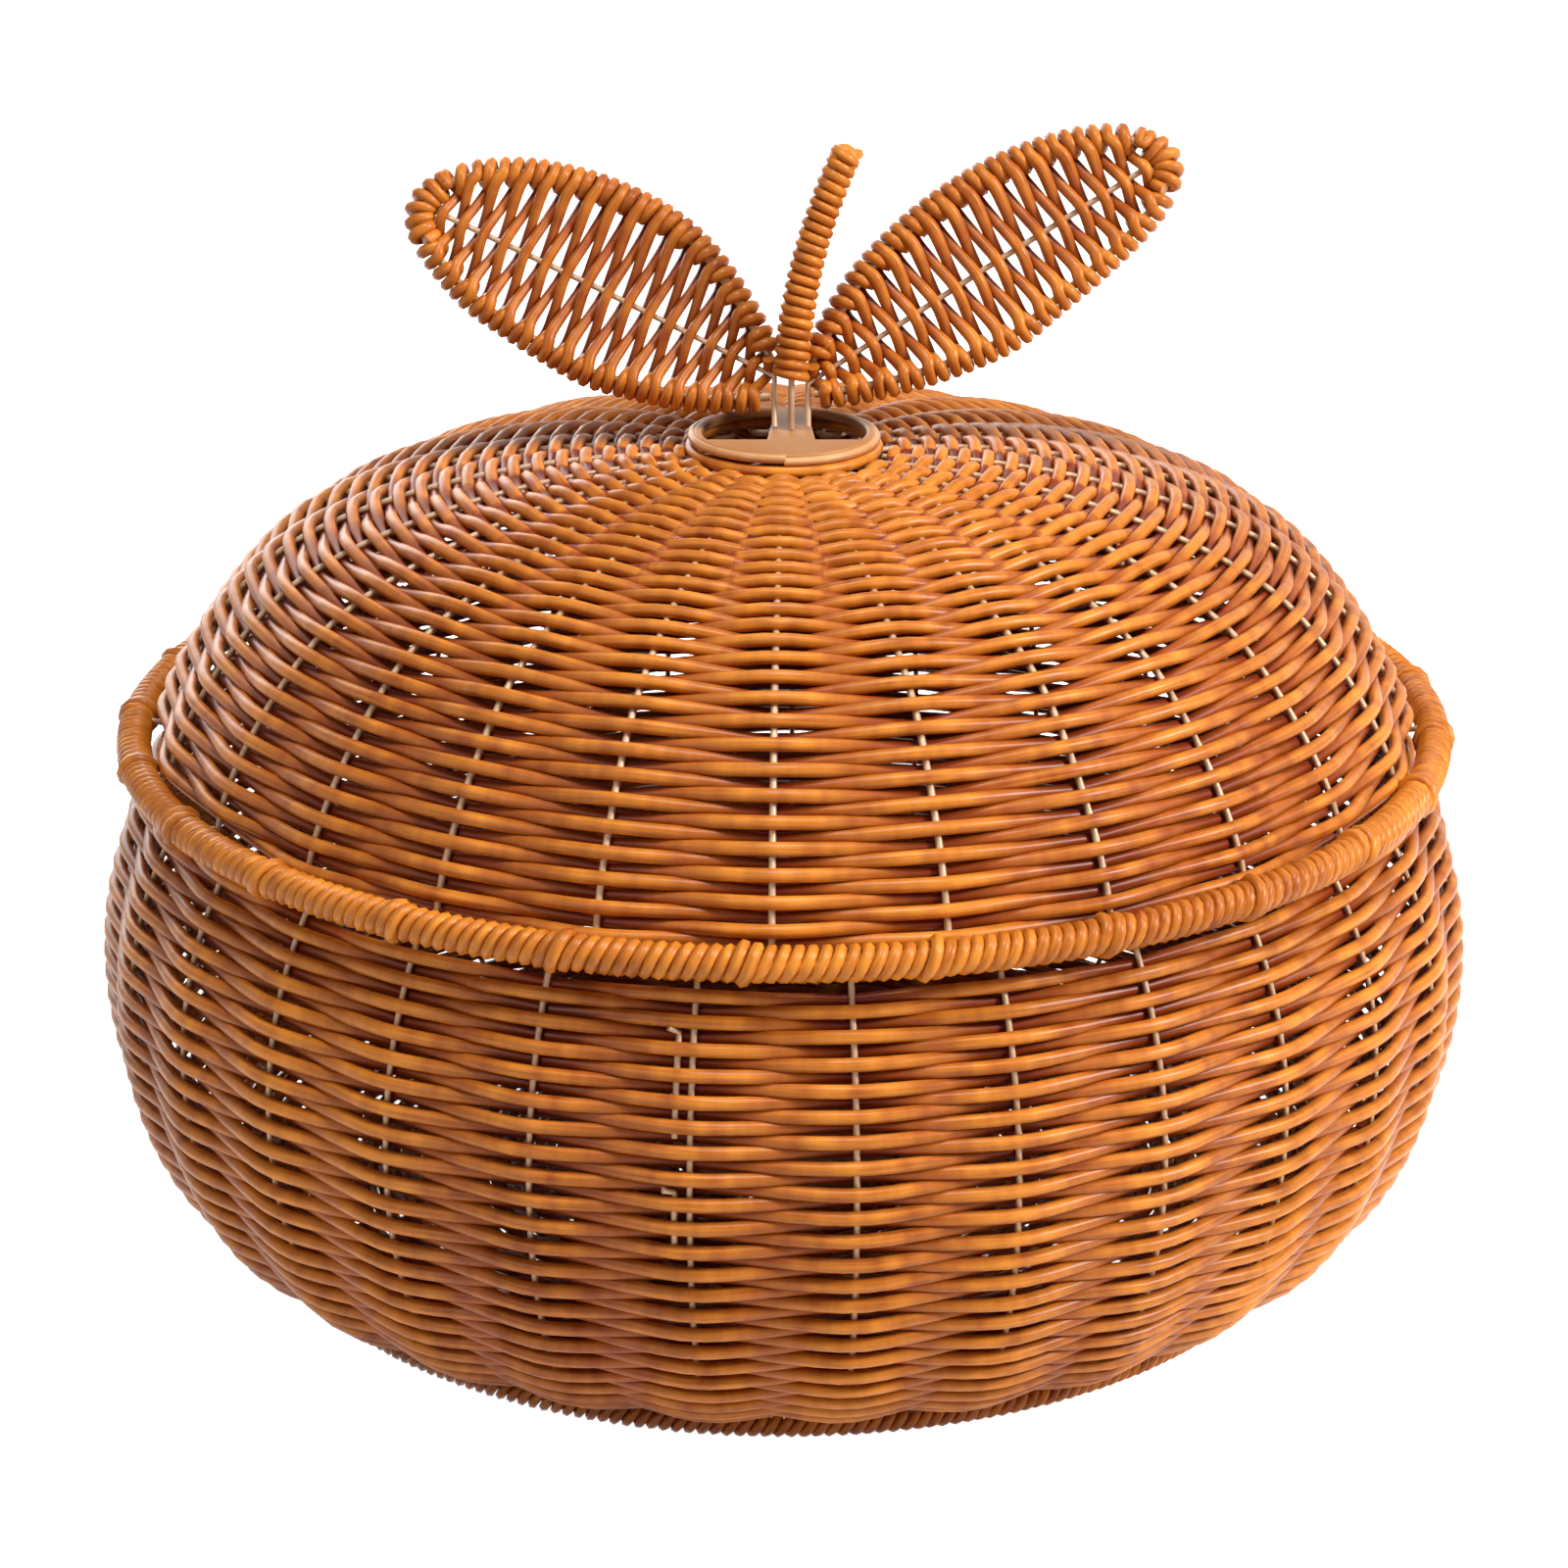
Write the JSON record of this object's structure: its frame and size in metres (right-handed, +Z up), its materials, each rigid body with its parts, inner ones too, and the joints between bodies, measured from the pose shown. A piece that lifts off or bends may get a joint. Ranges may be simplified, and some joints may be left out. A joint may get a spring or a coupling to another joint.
{
  "type": "lidded woven plastic basket",
  "caption": "Round apple-shaped basket of woven plastic cane on wire stakes, with a domed lift-off lid, a wrapped stem and leaf-shaped handles.",
  "frame": {"origin": "middle of the foot ring's underside", "axes": "+Z up along the basket's axis, -Y towards the front, +X to the right as seen from the front"},
  "size_m": [0.2935, 0.2933, 0.2391],
  "materials": {
    "orange_cane": "extruded orange-brown plastic cane with fine lengthwise streaks and a soft shine",
    "tan_cane": "paler tan plastic cane with a soft shine",
    "tan_moulding": "moulded pinkish tan plastic, satin",
    "pale_wire": "straight wire with a pale tan plastic coat"
  },
  "bodies": {
    "bowl": {"bowl_stake_wire_01": "pale_wire", "bowl_stake_wire_02": "pale_wire", "bowl_stake_wire_03": "pale_wire", "bowl_stake_wire_04": "pale_wire", "bowl_stake_wire_05": "pale_wire", "bowl_stake_wire_06": "pale_wire", "bowl_stake_wire_07": "pale_wire", "bowl_stake_wire_08": "pale_wire", "bowl_stake_wire_09": "pale_wire", "bowl_stake_wire_10": "pale_wire", "bowl_stake_wire_11": "pale_wire", "bowl_stake_wire_12": "pale_wire", "bowl_stake_wire_13": "pale_wire", "bowl_stake_wire_14": "pale_wire", "bowl_stake_wire_15": "pale_wire", "bowl_weaver": "orange_cane", "base_weaver": "orange_cane", "base_centre_plate": "tan_moulding", "foot_ring_wire": "pale_wire", "foot_ring_wrap": "orange_cane", "bowl_rim_wire": "pale_wire", "bowl_rim_wrap": "orange_cane"},
    "lid": {"lid_stake_wire_01": "pale_wire", "lid_stake_wire_02": "pale_wire", "lid_stake_wire_03": "pale_wire", "lid_stake_wire_04": "pale_wire", "lid_stake_wire_05": "pale_wire", "lid_stake_wire_06": "pale_wire", "lid_stake_wire_07": "pale_wire", "lid_stake_wire_08": "pale_wire", "lid_stake_wire_09": "pale_wire", "lid_stake_wire_10": "pale_wire", "lid_stake_wire_11": "pale_wire", "lid_stake_wire_12": "pale_wire", "lid_stake_wire_13": "pale_wire", "lid_weaver": "orange_cane", "lid_rim_wire": "pale_wire", "lid_rim_wrap": "orange_cane", "hub_plate": "tan_moulding", "hub_closing_cane": "tan_cane", "stem_wire": "pale_wire", "stem_wrap": "orange_cane", "left_leaf_edge_wire": "pale_wire", "left_leaf_midrib": "pale_wire", "left_leaf_weave": "orange_cane", "right_leaf_edge_wire": "pale_wire", "right_leaf_midrib": "pale_wire", "right_leaf_weave": "orange_cane"}
  },
  "joints": [
    {"name": "lid_lift", "type": "slide", "parent": "bowl", "child": "lid", "axis": [0, 0, 1], "range_m": [0, 0.18]}
  ]
}
